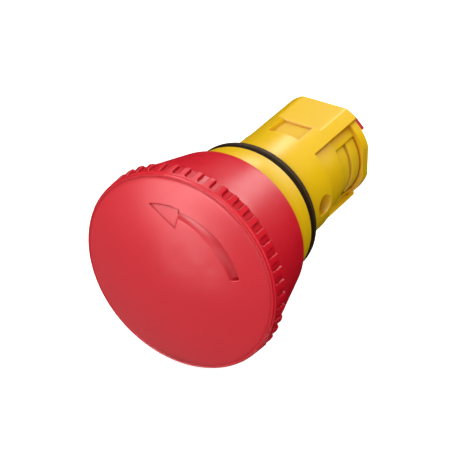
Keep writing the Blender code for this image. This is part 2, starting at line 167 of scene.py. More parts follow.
# Actuator plate and its screw
PLATE_RADIUS = 6.6
PAD_REACH = 9.28
PAD_HALF_WIDTH = 1.6
SCREW_HOLE_RADIUS = 1.5
SHANK_RADIUS = 0.95
THREAD_RADIUS = 1.2
THREAD_PITCH = 0.45
THREAD_TURNS = 12
CROSS_ARM = 0.22
CROSS_REACH = 1.15

# Springs
RETURN_WIRE = 0.44
TORSION_WIRE = 0.3
TORSION_RADIUS = 10.2
LATCH_WIRE = 0.4
LATCH_FLAT = 7.7
LATCH_CORNER = 8.5
TRIP_WIRE = 0.09
TRIP_COIL_RADIUS = 0.4
TRIP_COIL_START = 9.0


# ---------------------------------------------------------------- shape helpers

def smooth(x, low, high):
    """0 below low and 1 above high, with an eased rise between."""
    share = np.clip((x - low) / (high - low), 0.0, 1.0)
    return share * share * (3.0 - 2.0 * share)


def band(x, low, high, soft):
    """1 between low and high, with soft edges."""
    return smooth(x, low - soft, low + soft) * (1.0 - smooth(x, high - soft, high + soft))


def mixed(one, two, share):
    """From one at share 0 to two at share 1."""
    return one + (two - one) * share


def soft_min(a, b, blend):
    """The smaller of two values, rounded over where they cross."""
    share = np.clip(0.5 + 0.5 * (b - a) / blend, 0.0, 1.0)
    return b + (a - b) * share - blend * share * (1.0 - share)


def lines(first, last, step, edges):
    """Grid lines from first to last: a plain spacing, and close lines at each (edge, softness)."""
    count = max(1, round((last - first) / step))
    plain = np.linspace(first, last, count + 1)
    spread = (-1.4, -0.9, -0.5, 0.0, 0.5, 0.9, 1.4)
    close = np.array([edge + soft * k for edge, soft in edges for k in spread])
    reach = np.array([soft * 1.2 for _, soft in edges for _ in spread])
    near = np.array([(np.abs(close - value) < reach).any() for value in plain])
    near &= (plain > first) & (plain < last)
    close = close[(close > first + 1e-6) & (close < last - 1e-6)]
    return np.unique(np.round(np.concatenate([plain[~near], close]), 5))


def filleted(corners, pieces=5):
    """A profile of (radius, y) points from (radius, y, fillet) corners."""
    points = [corners[0][:2]]
    for before, (r, y, fillet), after in zip(corners, corners[1:], corners[2:]):
        here = Vector((r, y))
        to_before = Vector(before[:2]) - here
        to_after = Vector(after[:2]) - here
        reach = min(fillet, 0.45 * to_before.length, 0.45 * to_after.length)
        if reach < 1e-4:
            points.append((r, y))
            continue
        start = here + to_before.normalized() * reach
        end = here + to_after.normalized() * reach
        for i in range(pieces + 1):
            share = i / pieces
            point = start * (1 - share) ** 2 + here * 2 * share * (1 - share) + end * share * share
            points.append((point.x, point.y))
    points.append(corners[-1][:2])
    return points


def subdivided(points, step):
    """The same profile with no stretch longer than step."""
    found = [points[0]]
    for (r0, y0), (r1, y1) in zip(points, points[1:]):
        count = max(1, math.ceil(math.hypot(r1 - r0, y1 - y0) / step))
        found += [(r0 + (r1 - r0) * i / count, y0 + (y1 - y0) * i / count) for i in range(1, count + 1)]
    return found


def strip(one, two):
    """Four-sided faces between two closed rings of as many points."""
    return [(a, b, d, c) for a, b, c, d in zip(one, one[1:] + one[:1], two, two[1:] + two[:1])]


class Shell:
    """A surface of revolution whose rings may differ in their number of points."""

    def __init__(self):
        self.points = []
        self.faces = []
        self.last = None

    def ring(self, angles, radius, y):
        """Adds a ring, with radius and y as numbers or one value for each angle, and joins it on."""
        turn = np.radians(angles)
        radius = np.broadcast_to(radius, turn.shape)
        y = np.broadcast_to(y, turn.shape)
        first = len(self.points)
        self.points += list(zip(radius * np.cos(turn), y, radius * np.sin(turn)))
        new = (np.asarray(angles), list(range(first, first + len(turn))))
        if self.last:
            self.join(self.last, new)
        self.last = new
        return new

    def join(self, one, two):
        """Faces between two rings, as triangles where their numbers of points differ."""
        (angles_one, ids_one), (angles_two, ids_two) = one, two
        if len(ids_one) == len(ids_two):
            self.faces += strip(ids_one, ids_two)
            return
        i, j = 0, 0
        n, m = len(ids_one), len(ids_two)
        while i < n or j < m:
            next_one = angles_one[i + 1] if i + 1 < n else 360.0 + angles_one[0] if i < n else 1e9
            next_two = angles_two[j + 1] if j + 1 < m else 360.0 + angles_two[0] if j < m else 1e9
            if next_one <= next_two:
                self.faces.append((ids_one[i % n], ids_one[(i + 1) % n], ids_two[j % m]))
                i += 1
            else:
                self.faces.append((ids_one[i % n], ids_two[(j + 1) % m], ids_two[j % m]))
                j += 1

    def pole(self, y):
        """Closes the surface to a point on the axis."""
        self.points.append((0.0, y, 0.0))
        tip = len(self.points) - 1
        ids = self.last[1]
        self.faces += [(a, b, tip) for a, b in zip(ids, ids[1:] + ids[:1])]
        self.last = None

    def start_pole(self, y, angles, radius, ring_y):
        """Starts the surface from a point on the axis."""
        self.points.append((0.0, y, 0.0))
        tip = len(self.points) - 1
        ids = self.ring(angles, radius, ring_y)[1]
        self.faces += [(b, a, tip) for a, b in zip(ids, ids[1:] + ids[:1])]

    def close(self, ring):
        """Joins the last ring to an earlier one."""
        self.join(self.last, ring)
        self.last = None


def linked(name, data):
    """A new object in the scene that shows this mesh, curve, light or camera."""
    obj = bpy.data.objects.new(name, data)
    bpy.context.scene.collection.objects.link(obj)
    return obj


def mesh_from(bm, name):
    mesh = bpy.data.meshes.new(name)
    bm.to_mesh(mesh)
    bm.free()
    return mesh


def mesh_object(name, points, faces, material, sharp=50.0):
    """An object from millimetre points, shaded smooth except at sharp edges."""
    bm = bmesh.new()
    verts = [bm.verts.new(Vector(map(float, point)) * MM) for point in points]
    for face in faces:
        bm.faces.new([verts[i] for i in face])
    bmesh.ops.recalc_face_normals(bm, faces=bm.faces)
    mesh = mesh_from(bm, name)
    mesh.shade_smooth()
    mesh.set_sharp_from_angle(angle=math.radians(sharp))
    mesh.materials.append(material)
    return linked(name, mesh)


def place(obj, node, body):
    """Puts a finished piece in the CAD node's stead."""
    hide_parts(node)
    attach(obj, body)


def turned(name, corners, material, segments=128, pieces=5):
    """A turned piece from a filleted profile, which ends on the axis or is joined up to its start."""
    shell = Shell()
    angles = np.arange(segments) * 360.0 / segments
    profile = filleted(corners, pieces)
    on_axis = profile[0][0] < 1e-6
    if on_axis:
        shell.start_pole(profile[0][1], angles, *profile[1])
    else:
        first = shell.ring(angles, *profile[0])
    for radius, y in profile[2 if on_axis else 1:]:
        if radius < 1e-6:
            shell.pole(y)
        else:
            shell.ring(angles, radius, y)
    if not on_axis:
        shell.close(first)
    return mesh_object(name, shell.points, shell.faces, material)


def at(radius, degrees, y):
    """The point at this radius and clock angle."""
    turn = math.radians(degrees)
    return Vector((radius * math.cos(turn), y, radius * math.sin(turn)))


def prism(loop, sweep):
    """A bmesh with straight sides, from a flat loop of millimetre points and the way it is swept."""
    bm = bmesh.new()
    face = bm.faces.new([bm.verts.new(Vector(point) * MM) for point in loop])
    grown = bmesh.ops.extrude_face_region(bm, geom=[face], use_keep_orig=True)
    moved = [item for item in grown["geom"] if isinstance(item, bmesh.types.BMVert)]
    bmesh.ops.translate(bm, verts=moved, vec=Vector(sweep) * MM)
    bmesh.ops.recalc_face_normals(bm, faces=bm.faces)
    return bm


def cut_out(target, cutter):
    """Takes the cutter's shape out of the target, and the cutter out of the scene."""
    boolean = target.modifiers.new("cut", "BOOLEAN")
    boolean.operation = "DIFFERENCE"
    boolean.solver = "EXACT"
    boolean.object = cutter
    graph = bpy.context.evaluated_depsgraph_get()
    result = bpy.data.meshes.new_from_object(target.evaluated_get(graph))
    target.modifiers.clear()
    target.data = result
    result.shade_smooth()
    result.set_sharp_from_angle(angle=math.radians(38.0))
    bpy.data.objects.remove(cutter, do_unlink=True)


# ---------------------------------------------------------------- materials

class Nodes:
    """A material's node tree, with short ways to add and link nodes."""

    def __init__(self, name):
        self.material = bpy.data.materials.new(name)
        self.material.use_nodes = True
        self.tree = self.material.node_tree
        self.shader = self.tree.nodes["Principled BSDF"]
        self.place = self.add("ShaderNodeTexCoord").outputs["Object"]

    def add(self, kind, inputs=None, **settings):
        node = self.tree.nodes.new(kind)
        for key, value in settings.items():
            setattr(node, key, value)
        for key, value in (inputs or {}).items():
            if isinstance(value, bpy.types.NodeSocket):
                self.tree.links.new(value, node.inputs[key])
            else:
                node.inputs[key].default_value = value
        return node

    def noise(self, size_mm, detail, roughness=0.55, stretch=None):
        """Noise whose features are about this many millimetres across."""
        vector = self.place
        if stretch:
            vector = self.add("ShaderNodeMapping", {"Vector": vector, "Scale": stretch}).outputs["Vector"]
        node = self.add("ShaderNodeTexNoise", {
            "Vector": vector, "Scale": 1.0 / (size_mm * MM), "Detail": detail, "Roughness": roughness,
        })
        return node.outputs["Fac"]

    def cavity(self, reach_mm):
        """0 on open faces, rising to 1 deep in corners and grooves this narrow; the materials paint shade
        with it.
        """
        node = self.add("ShaderNodeAmbientOcclusion", {"Distance": reach_mm * MM}, samples=8)
        return self.ramp(node.outputs["AO"], 0.35, 0.95, 1.0, 0.0)

    def ramp(self, value, low, high, to_low, to_high):
        """Takes values from low to high on to the second pair of numbers."""
        node = self.add("ShaderNodeMapRange", {
            "Value": value, "From Min": low, "From Max": high, "To Min": to_low, "To Max": to_high,
        })
        return node.outputs["Result"]

    def mix(self, factor, one, two):
        """A blend of two colours, each a socket or a red, green and blue triple."""
        node = self.add("ShaderNodeMix", data_type="RGBA")
        self.tree.links.new(factor, node.inputs[0])
        for socket, value in ((node.inputs[6], one), (node.inputs[7], two)):
            if isinstance(value, bpy.types.NodeSocket):
                self.tree.links.new(value, socket)
            else:
                socket.default_value = (*value, 1.0)
        return node.outputs[2]

    def bump(self, height, distance_mm, strength, normal=None):
        inputs = {"Height": height, "Distance": distance_mm * MM, "Strength": strength}
        if normal:
            inputs["Normal"] = normal
        return self.add("ShaderNodeBump", inputs).outputs["Normal"]

    def set(self, **sockets):
        """Links or sets the shader's sockets, and returns the material."""
        for key, value in sockets.items():
            socket = self.shader.inputs[key.replace("_", " ")]
            if isinstance(value, bpy.types.NodeSocket):
                self.tree.links.new(value, socket)
            else:
                socket.default_value = value
        return self.material


def moulded_plastic(
        name, colour, deep, corner, roughness, hollow_shade=0.3, scatter=0.0, scatter_tint=(1.0, 0.3, 0.2)):
    """Injection-moulded plastic with cloudy pigment, a fine grain and handling marks.

    Painted shade: an occlusion mask darkens recesses and creases towards the corner colour, and creases lose
    most of their specular, a painted shade of reflections.
    """
    n = Nodes(name)
    cloud = n.ramp(n.noise(7.0, 2.0), 0.35, 0.7, 0.0, 0.16)
    speck = n.ramp(n.noise(0.5, 2.0), 0.45, 0.75, 0.0, 0.10)
    pigment = n.mix(cloud, colour, deep)
    pigment = n.mix(speck, pigment, deep)
    # Painted shade: the pigment darkens towards the corner colour in recesses and creases
    hollow = n.ramp(n.cavity(3.5), 0.0, 1.0, 0.0, hollow_shade)
    crease = n.cavity(0.55)
    pigment = n.mix(hollow, pigment, corner)
    pigment = n.mix(crease, pigment, corner)
    marks = n.noise(3.2, 5.0, 0.62)
    shine = n.ramp(marks, 0.3, 0.7, roughness - 0.045, roughness + 0.045)
    grain = n.bump(n.noise(0.22, 3.0, 0.6), 0.006, 0.55)
    waves = n.bump(n.noise(9.0, 1.0, 0.4), 0.03, 0.25, grain)
    return n.set(
        Base_Color=pigment, Roughness=shine, Normal=waves, IOR=1.5,
        # Painted shade of reflections: creases get far less specular
        Specular_IOR_Level=n.ramp(crease, 0.0, 0.8, 0.5, 0.05),
        Subsurface_Weight=scatter, Subsurface_Radius=scatter_tint, Subsurface_Scale=0.0005,
    )


def soft_rubber(name, colour, bloom_and_sheen, sheen_line_y=None):
    """Dark rubber with a matt bloom and, at a given height along the axis, a paler line round it there: a
    painted highlight.
    """
    n = Nodes(name)
    bloom = n.ramp(n.noise(1.4, 4.0, 0.6), 0.4, 0.7, 0.0, 0.6)
    skin = n.mix(bloom, colour, bloom_and_sheen)
    # Painted highlight: a paler line round the ring at the given height
    if sheen_line_y is not None:
        height = n.add("ShaderNodeSeparateXYZ", {"Vector": n.place}).outputs["Y"]
        off = n.add("ShaderNodeMath", {0: height, 1: -sheen_line_y * MM}, operation="ADD").outputs[0]
        off = n.add("ShaderNodeMath", {0: off}, operation="ABSOLUTE").outputs[0]
        painted_sheen = n.ramp(off, 0.25 * MM, 0.6 * MM, 0.9, 0.0)
        skin = n.mix(painted_sheen, skin, [channel * 2.7 for channel in bloom_and_sheen])
    shine = n.ramp(n.noise(0.8, 3.0), 0.3, 0.7, 0.52, 0.66)
    grain = n.bump(n.noise(0.12, 3.0, 0.65), 0.006, 0.6)
    return n.set(Base_Color=skin, Roughness=shine, Normal=grain, IOR=1.25)


def drawn_steel(name, colour, dark, roughness):
    """Bright steel with fine drawing or turning lines and slight tarnish."""
    n = Nodes(name)
    tarnish = n.ramp(n.noise(1.6, 4.0, 0.6), 0.4, 0.75, 0.0, 0.35)
    tint = n.mix(tarnish, colour, dark)
    fine_lines = n.noise(0.5, 3.0, 0.6, (6.0, 1.0, 6.0))
    shine = n.ramp(fine_lines, 0.3, 0.7, roughness - 0.06, roughness + 0.08)
    grain = n.bump(fine_lines, 0.004, 0.5)
    return n.set(Base_Color=tint, Roughness=shine, Normal=grain, Metallic=1.0)


# ---------------------------------------------------------------- mushroom cap

def dome_y(radius, sink=0.0):
    """Y of the dome at this radius, or of a surface sunk below it."""
    return DOME_FRONT + DOME_SPHERE - np.sqrt(DOME_SPHERE**2 - np.square(radius)) + sink


def arrow_head():
    """The arrow's head as (x, z) points: a side that follows the dome's edge, a tip and a bowed side."""
    turns = [(radius, math.radians(clock)) for radius, clock in ARROW_HEAD]
    return [(radius * math.cos(turn), radius * math.sin(turn)) for radius, turn in turns]


def inside_distance(x, z, outline):
    """Signed distance to a closed outline, positive inside."""
    nearest = np.full(x.shape, np.inf)
    inside = np.zeros(x.shape, bool)
    for (x0, z0), (x1, z1) in zip(outline, outline[1:] + outline[:1]):
        dx, dz = x1 - x0, z1 - z0
        share = np.clip(((x - x0) * dx + (z - z0) * dz) / (dx * dx + dz * dz), 0.0, 1.0)
        nearest = np.minimum(nearest, np.hypot(x - x0 - share * dx, z - z0 - share * dz))
        crosses = (z0 > z) != (z1 > z)
        with np.errstate(divide="ignore", invalid="ignore"):
            inside ^= crosses & (x < dx * (z - z0) / (dz if dz else 1e-12) + x0)
    return np.where(inside, nearest, -nearest)


def engraving(x, z):
    """Depth of the arrow: a flat-floored head, and a shaft with a soft inner side and a steep outer wall."""
    head = ARROW_HEAD_DEPTH * smooth(inside_distance(x, z, arrow_head()), -0.06, 0.1)
    clock = np.degrees(np.arctan2(z, x))
    inner = SHAFT_INNER + 0.65 * ((clock - 42.0) / 42.0) ** 2
    across = np.clip((np.hypot(x, z) - inner) / (SHAFT_OUTER - inner), 0.0, 1.0)
    towards_head = smooth(clock, 20.0, 55.0)
    rise = np.minimum(across / (0.55 + 0.33 * towards_head), 1.0)
    soft_side = 1.0 - (1.0 - rise) ** (1.6 + 0.4 * towards_head)
    wall = 1.0 - smooth(across, 0.92, 1.0)
    ends = smooth(clock, SHAFT_TAIL, SHAFT_TAIL + 0.4) * (1.0 - smooth(clock, SHAFT_END - 1.0, SHAFT_END))
    depth = SHAFT_DEPTH - 0.3 * smooth(clock, 25.0, 60.0)
    return np.maximum(head, depth * soft_side * wall * ends)


def groove_share(angles, y):
    """How far a rim point is into a knurl groove: 1 on the groove's floor."""
    pitch = 360.0 / KNURL_COUNT
    across = np.radians(angles % pitch - pitch / 2) * HEAD_RADIUS
    half = KNURL_GROOVE / 2
    bend = KNURL_FRONT + half
    distance = half - np.where(y < bend, np.hypot(across, y - bend), np.abs(across))
    return smooth(distance, -0.05, 0.09)


def knurl_columns():
    """Clock angles round the rim, closest together across each groove."""
    pitch = 360.0 / KNURL_COUNT
    one_pitch = pitch * np.concatenate([(0.0, 0.07, 0.14), np.linspace(0.195, 0.805, 19), (0.86, 0.93)])
    return (np.arange(KNURL_COUNT)[:, None] * pitch + one_pitch).ravel()


def cap_dome(shell):
    """The domed front with the engraved arrow, from the middle to just inside its edge."""
    by_arrow = np.arange(12.0, 117.0, 0.4)
    elsewhere = np.arange(117.0, 372.0, 1.7) % 360.0
    angles = np.sort(np.concatenate([by_arrow, elsewhere]))
    turn = np.radians(angles)
    radii = np.concatenate([np.arange(1.5, 9.0, 1.25), np.arange(9.1, 15.3, 0.1), np.arange(15.8, 18.6, 0.5)])
    for radius in radii:
        y = dome_y(radius, engraving(radius * np.cos(turn), radius * np.sin(turn)))
        if radius == radii[0]:
            shell.start_pole(DOME_FRONT, angles, radius, y)
        else:
            shell.ring(angles, radius, y)


def cap_rim(shell, angles):
    """The edge line and bead, then the pads with the knurl grooves between them."""
    for radius, depth in EDGE_PROFILE:
        shell.ring(angles, radius, dome_y(radius, depth))
    pads = filleted([
        (19.6, float(dome_y(19.6, 0.22)), 0.0), (HEAD_RADIUS - 0.2, PAD_FRONT, 0.25),
        (HEAD_RADIUS, KNURL_REAR, 0.22), (SKIRT_FRONT_RADIUS, KNURL_REAR + 0.2, 0.1),
        (SKIRT_FRONT_RADIUS - 0.04, KNURL_REAR + 0.35, 0.0),
    ])
    front = [point for point in subdivided(pads, 0.1) if point[1] < KNURL_FRONT + 1.0]
    behind = [point for point in subdivided(pads, 0.6) if point[1] > front[-1][1] + 0.1]
    for radius, y in front + behind:
        floor = min(radius, GROOVE_FLOOR)
        shell.ring(angles, mixed(radius, floor, groove_share(angles, y)), y)


def cap_skirt(shell, angles):
    """The conical skirt and its rounded rear lip."""
    front, *behind = subdivided(filleted([
        (SKIRT_FRONT_RADIUS - 0.06, KNURL_REAR + 0.4, 0.0),
        (SKIRT_REAR_RADIUS, SKIRT_REAR - 0.1, 0.35),
        (SKIRT_REAR_RADIUS - 0.35, SKIRT_REAR, 0.2),
        (SKIRT_MOUTH, SKIRT_REAR, 0.15),
        (SKIRT_MOUTH + 0.1, SKIRT_REAR - 0.6, 0.0),
    ]), 3.0)
    shell.ring(angles, *front)
    for radius, y in behind:
        shell.ring(np.arange(288) * 1.25, radius, y)


def cap_inside(shell):
    """The hollow under the dome, with the grooved boss that sits on the stem."""
    inside = filleted([
        (SKIRT_MOUTH + 0.2, SKIRT_REAR - 1.0, 0.0),
        (17.7, KNURL_REAR, 0.5),
        (17.6, -25.0, 0.5),
        (BOSS_OUTER, float(dome_y(BOSS_OUTER, CAP_WALL)), 0.3),
        (BOSS_OUTER, BOSS_REAR, 0.12),
        (BOSS_INNER, BOSS_REAR, 0.12),
        (BOSS_INNER, CLIP_GROOVE_REAR, 0.0),
        (CLIP_GROOVE_RADIUS, CLIP_GROOVE_REAR, 0.0),
        (CLIP_GROOVE_RADIUS, CLIP_GROOVE_FRONT, 0.0),
        (BOSS_INNER, CLIP_GROOVE_FRONT, 0.0),
        (BOSS_INNER, float(dome_y(BOSS_INNER, CAP_WALL)), 0.2),
        (1.0, DOME_FRONT + CAP_WALL, 0.0),
    ], 4)
    for radius, y in inside:
        shell.ring(np.arange(144) * 2.5, radius, y)
    shell.pole(DOME_FRONT + CAP_WALL)


def mushroom_cap(material):
    shell = Shell()
    columns = knurl_columns()
    cap_dome(shell)
    cap_rim(shell, columns)
    cap_skirt(shell, columns)
    cap_inside(shell)
    cap = mesh_object("mushroom_cap_moulding", shell.points, shell.faces, material, 60.0)
    place(cap, "mushroom_cap", "head")


# ---------------------------------------------------------------- housing

def from_side(angles):
    """Degrees from each clock angle to the nearer side of the barrel, +X or -X."""
    return np.abs((angles + 90.0) % 180.0 - 90.0)


def flat_radius(height, degrees):
    """Radius of a flat at this height, this many degrees from its middle."""
    return height / np.maximum(np.cos(np.radians(degrees)), 0.3)


def recess_floor(side, y):
    """Radius of the side recess's floor, which falls towards the window, and of the flange behind it."""
    floor = RECESS_RADIUS - RECESS_FALL * (min(y, WINDOW_FRONT) - RECESS_FRONT)
    flange = soft_min(np.full(side.shape, FLANGE_RADIUS), flat_radius(FLANGE_FLAT, side), 0.08)
    return mixed(floor, flange, smooth(y, WINDOW_REAR - 0.02, WINDOW_REAR + 0.25))


def window_dip(side, y):
    """Depth of the rounding along the window's edges."""
    to_side = np.maximum(side - WINDOW_ANGLE, 0.0) * 0.18
    to_end = np.maximum(np.maximum(WINDOW_FRONT - y, y - WINDOW_REAR), 0.0)
    near = np.exp(-np.square(np.hypot(to_side, to_end) / WINDOW_DIP_REACH))
    return WINDOW_DIP * near * (side < RECESS_ANGLE - 5.0)


def barrel_radius(angles, y):
    """Outside radius of the barrel: flats, key recesses, side recesses and rear flange."""
    side = from_side(angles)
    upright = 90.0 - side
    radius = np.full(side.shape, BARREL_RADIUS)
    flat = soft_min(radius, flat_radius(FLAT_Z, upright), 0.12)
    radius = mixed(radius, flat, smooth(y, FLAT_FRONT - EDGE, FLAT_FRONT + EDGE))
    key = np.minimum(flat_radius(KEY_FLOOR_Z, upright), radius)
    in_key = band(upright, -90.0, KEY_ANGLE, SIDE_EDGE) * band(y, RECESS_FRONT, FLAT_FRONT, STEP_EDGE)
    radius = mixed(radius, key, in_key)
    in_side = 1.0 - smooth(side, RECESS_ANGLE - SIDE_EDGE, RECESS_ANGLE + SIDE_EDGE)
    in_side = in_side * smooth(y, RECESS_FRONT - STEP_EDGE, RECESS_FRONT + STEP_EDGE)
    radius = mixed(radius, np.minimum(recess_floor(side, y), radius), in_side)
    return radius - window_dip(side, y) - 0.3 * smooth(y, BARREL_REAR - 0.45, BARREL_REAR + 0.1)


def chamber_radius(angles, y):
    """Inside radius of the collar: two keyways, and two sloping grooves for the trip pins."""
    side = from_side(angles)
    in_keyway = 1.0 - smooth(90.0 - side, KEYWAY_ANGLE - 0.35, KEYWAY_ANGLE + 0.35)
    radius = mixed(CHAMBER_RADIUS, KEYWAY_RADIUS, in_keyway)
    slope = TRIP_FLOOR - TRIP_SLOPE * (y - TRIP_Y)
    in_groove = 1.0 - smooth(side, TRIP_ANGLE - 0.3, TRIP_ANGLE + 0.3)
    in_groove = in_groove * smooth(y, TRIP_FRONT - 0.1, TRIP_FRONT + 0.1)
    return mixed(radius, np.maximum(slope, radius), in_groove)


def housing_columns():
    """Clock angles round the housing, close together at the edges of its grooves, recesses and flats."""
    edges = (TRIP_ANGLE, WINDOW_ANGLE, RECESS_ANGLE, 90.0 - FLAT_ANGLE, 90.0 - KEY_ANGLE, 90.0 - KEYWAY_ANGLE)
    quarter = lines(0.0, 90.0, 3.0, [(edge, 0.8) for edge in edges])
    whole = np.concatenate([quarter, 180.0 - quarter, 180.0 + quarter, 360.0 - quarter])
    return np.unique(np.round(whole[whole < 359.99], 4))


def housing_shell(columns):
    """Rings of the housing from the front of the collar round the rear and back to the front."""
    shell = Shell()
    mouth = CHAMBER_RADIUS + 0.3
    front = filleted([
        (mouth, COLLAR_FRONT, 0.0), (13.75, COLLAR_FRONT, 0.1),
        (COLLAR_RADIUS, COLLAR_FRONT + 0.35, 0.3), (COLLAR_RADIUS, -6.0, 1.5),
        (13.6, COLLAR_REAR, 0.25), (BARREL_RADIUS + 0.1, COLLAR_REAR, 0.0),
        (BARREL_RADIUS, COLLAR_REAR + 0.1, 0.0),
    ])
    start = shell.ring(columns, chamber_radius(columns, COLLAR_FRONT) + 0.06, COLLAR_FRONT)
    for radius, y in subdivided(front, 3.0)[1:]:
        shell.ring(columns, radius, y)
    barrel = lines(COLLAR_REAR + 0.5, BARREL_REAR, 1.2, (
        (RECESS_FRONT, STEP_EDGE), (FLAT_FRONT, EDGE), (WINDOW_FRONT, EDGE), (WINDOW_REAR, EDGE),
        (BARREL_REAR - 0.3, EDGE),
    ))
    # Rounding can put the last line just past the rear face, and then it's left out.
    barrel = barrel[barrel <= BARREL_REAR]
    outer = {round(float(y), 4): shell.ring(columns, barrel_radius(columns, y), y) for y in barrel}
    shell.ring(columns, REAR_BORE + 0.15, BARREL_REAR)
    inner = {}
    for y in barrel[barrel > LEDGE_REAR + 0.3][::-1]:
        lead_in = 0.15 if y == barrel[-1] else 0.0
        inner[round(float(y), 4)] = shell.ring(columns, REAR_BORE, y - lead_in)
    bores = [
        (REAR_BORE, LEDGE_REAR), (LEDGE_BORE + 0.05, LEDGE_REAR), (LEDGE_BORE, LEDGE_REAR - 0.05),
        (LEDGE_BORE, LEDGE_FRONT + 0.05), (LEDGE_BORE + 0.05, LEDGE_FRONT), (SPRING_BORE, LEDGE_FRONT),
        (SPRING_BORE, 4.0), (SPRING_BORE, CHAMBER_REAR + 0.1), (SPRING_BORE + 0.1, CHAMBER_REAR),
    ]
    for radius, y in bores:
        shell.ring(columns, radius, y)
    groove_end = [TRIP_FRONT + step for step in (0.15, 0.05, 0.0, -0.05, -0.15)]
    for y in (CHAMBER_REAR, CHAMBER_REAR - 0.05, -8.0, *groove_end, COLLAR_FRONT + 0.1):
        shell.ring(columns, chamber_radius(columns, y), y)
    shell.close(start)
    return shell, outer, inner


def open_windows(shell, columns, outer, inner):
    """Takes out the wall at each side window and faces the opening's four edges."""
    heights = [y for y in sorted(outer) if WINDOW_FRONT - 1e-3 <= y <= WINDOW_REAR + 1e-3]
    open_column = from_side(columns) <= WINDOW_ANGLE + 1e-3
    place_of = {}
    for rings, which in ((outer, 0), (inner, 1)):
        for y in heights:
            for column, vertex in enumerate(rings[y][1]):
                place_of[vertex] = (which, y, column)

    def in_window(face):
        spots = [place_of.get(vertex) for vertex in face]
        if None in spots or len({spot[0] for spot in spots}) > 1:
            return False
        return all(open_column[column] for _, _, column in spots)

    shell.faces = [face for face in shell.faces if not in_window(face)]
    for column in np.flatnonzero(open_column):
        after = (column + 1) % len(columns)
        if open_column[after]:
            for y in (heights[0], heights[-1]):
                out, into = outer[y][1], inner[y][1]
                shell.faces.append((out[column], out[after], into[after], into[column]))
        if not (open_column[after] and open_column[column - 1]):
            for low, high in zip(heights, heights[1:]):
                corners = (outer[low], outer[high], inner[high], inner[low])
                shell.faces.append(tuple(ids[column] for _, ids in corners))


def hole_cutter(material):
    """Two round side holes with a small lead-in at the mouth."""
    shell = Shell()
    turns = [math.tau * i / 64 for i in range(64)]
    mouth = HOLE_RADIUS + 0.2
    for side in (1.0, -1.0):
        rings = []
        for radius, out in ((HOLE_RADIUS, 7.6), (HOLE_RADIUS, 10.75), (mouth, 11.02), (mouth, 12.5)):
            first = len(shell.points)
            shell.points += [
                (side * out, HOLE_Y + radius * math.cos(turn), radius * math.sin(turn)) for turn in turns
            ]
            rings.append(list(range(first, len(shell.points))))
        for one, two in zip(rings, rings[1:]):
            shell.faces += strip(one, two)
        shell.faces += [tuple(rings[0]), tuple(rings[-1])]
    return mesh_object("side_hole_cutter", shell.points, shell.faces, material)


def housing(material):
    columns = housing_columns()
    shell, outer, inner = housing_shell(columns)
    open_windows(shell, columns, outer, inner)
    body = mesh_object("housing_moulding", shell.points, shell.faces, material)
    cut_out(body, hole_cutter(material))
    place(body, "housing", "housing")


def panel_gasket(material):
    """The ring between collar and panel, with a rounded rim."""
    inner = 11.3
    gasket = turned("panel_gasket_ring", [
        (inner, GASKET_LOW[1], 0.0), (13.3, GASKET_LOW[1], 0.2), (GASKET_HIGH[0], -1.75, 0.5),
        (GASKET_HIGH[0] - 0.05, -0.75, 0.6), (13.15, GASKET_HIGH[1], 0.35), (inner, GASKET_HIGH[1], 0.0),
    ], material, 192, 6)
    place(gasket, "panel_gasket", "housing")


def rear_guide(material):
    """The inner sleeve seen through the windows, with its double-D rear hole."""
    columns = np.arange(180) * 2.0
    across = np.maximum(np.abs(np.cos(np.radians(columns))), 0.1)
    hole = np.minimum(SHAFT_HOLE_RADIUS, SHAFT_HOLE_FLAT / across)
    shell = Shell()
    outside = filleted([
        (8.2, 13.6, 0.0), (SLEEVE_FRONT_RADIUS, 13.6, 0.15), (SLEEVE_FRONT_RADIUS, 20.3, 0.1),
        (8.6, 20.4, 0.1), (8.6, 21.0, 0.1), (SLEEVE_REAR_RADIUS, 21.1, 0.15),
        (SLEEVE_REAR_RADIUS, 26.2, 0.15), (6.6, 26.2, 0.0),
    ], 4)
    first = [shell.ring(columns, radius, y) for radius, y in outside][0]
    for widening, y in ((0.1, 26.2), (0.0, 26.1), (0.0, 24.9), (0.1, 24.8)):
        shell.ring(columns, hole + widening, y)
    for radius, y in ((SLEEVE_BORE, 24.8), (SLEEVE_BORE, 16.4), (8.2, 16.3)):
        shell.ring(columns, radius, y)
    shell.close(first)
    guide = mesh_object("rear_guide_sleeve", shell.points, shell.faces, material)
    place(guide, "rear_guide", "housing")


# ---------------------------------------------------------------- rear plate and screw

def actuator_plate(material):
    """Disc and four diagonal pads in one outline, with rounded edges."""
    front, rear = PLATE_LOW[1], PLATE_HIGH[1]
    outline = []
    join = math.degrees(math.asin(PAD_HALF_WIDTH / PLATE_RADIUS))
    for middle in (45.0, 135.0, 225.0, 315.0):
        out, side = at(PAD_REACH, middle, front), at(PAD_HALF_WIDTH, middle + 90.0, 0.0)
        outline += [out - side, out + side]
        first, last = middle + join, middle + 90.0 - join
        outline += [at(PLATE_RADIUS, mixed(first, last, i / 16), front) for i in range(17)]
    bm = prism(outline, (0.0, rear - front, 0.0))
    sharp = [edge for edge in bm.edges if len(edge.link_faces) == 2 and edge.calc_face_angle() > 0.5]
    bmesh.ops.bevel(bm, geom=sharp, offset=0.2 * MM, segments=3, profile=0.6, affect="EDGES")
    mesh = mesh_from(bm, "actuator_plate_moulding")
    mesh.materials.append(material)
    plate = linked("actuator_plate_moulding", mesh)
    ring = [at(SCREW_HOLE_RADIUS, 360.0 * i / 48, front - 1.0) for i in range(48)]
    hole = mesh_from(prism(ring, (0.0, 4.0, 0.0)), "screw_hole")
    cut_out(plate, linked("screw_hole", hole))
    place(plate, "actuator_plate", "plunger")


